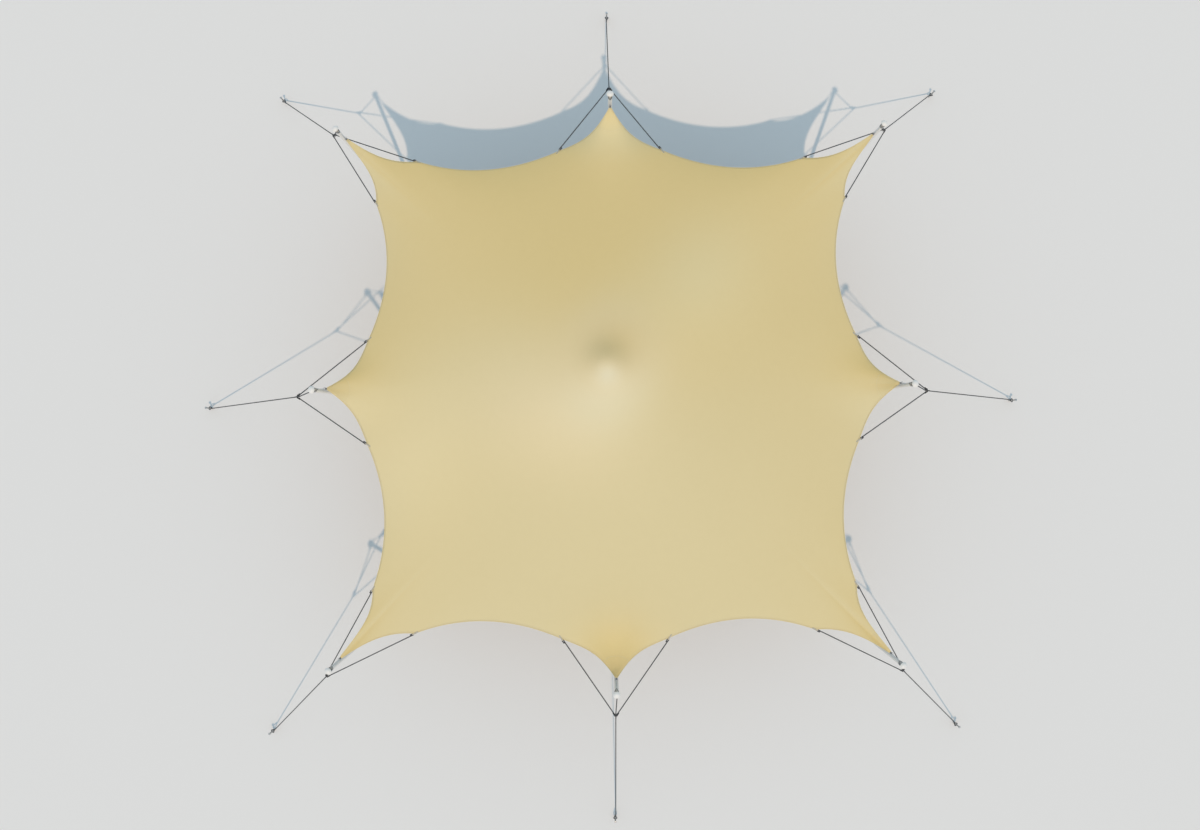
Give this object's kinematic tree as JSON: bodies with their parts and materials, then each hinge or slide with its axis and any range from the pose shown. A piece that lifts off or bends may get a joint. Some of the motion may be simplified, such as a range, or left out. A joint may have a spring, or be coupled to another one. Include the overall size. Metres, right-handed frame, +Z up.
{
  "type": "stretch tent",
  "caption": "Square stretch tent: a soft sheet raised by a centre pole and pulled out to tips on leaning poles, each held by a guy, a ring and a stake.",
  "frame": {"origin": "on the ground under the middle of the stake circle", "axes": "+Z up, +X to the right and +Y to the back as seen from the front side"},
  "size_m": [14.2044, 14.2044, 4],
  "materials": {
    "canopy": "sand coloured stretch weave, matt",
    "pole": "anodised tube",
    "centre_head": "smooth moulded head",
    "centre_foot": "grey plate",
    "pole_cap": "white moulded cap",
    "tip_strap": "dark shackle and webbing",
    "guy": "dark braided rope with a steel ring",
    "stake": "dark steel pin"
  },
  "bodies": {
    "root": {"canopy": "canopy", "centre_pole": "pole", "centre_pole_head": "centre_head", "centre_pole_foot": "centre_foot", "pole_back": "pole", "pole_right": "pole", "pole_front": "pole", "pole_left": "pole", "pole_back_right": "pole", "pole_front_right": "pole", "pole_front_left": "pole", "pole_back_left": "pole", "pole_cap_back": "pole_cap", "pole_cap_right": "pole_cap", "pole_cap_front": "pole_cap", "pole_cap_left": "pole_cap", "pole_cap_back_right": "pole_cap", "pole_cap_front_right": "pole_cap", "pole_cap_front_left": "pole_cap", "pole_cap_back_left": "pole_cap", "tip_strap_back": "tip_strap", "tip_strap_right": "tip_strap", "tip_strap_front": "tip_strap", "tip_strap_left": "tip_strap", "tip_strap_back_right": "tip_strap", "tip_strap_front_right": "tip_strap", "tip_strap_front_left": "tip_strap", "tip_strap_back_left": "tip_strap", "guy_back": "guy", "guy_right": "guy", "guy_front": "guy", "guy_left": "guy", "guy_back_right": "guy", "guy_front_right": "guy", "guy_front_left": "guy", "guy_back_left": "guy", "stake_back": "stake", "stake_right": "stake", "stake_front": "stake", "stake_left": "stake", "stake_back_right": "stake", "stake_front_right": "stake", "stake_front_left": "stake", "stake_back_left": "stake"}
  },
  "joints": []
}
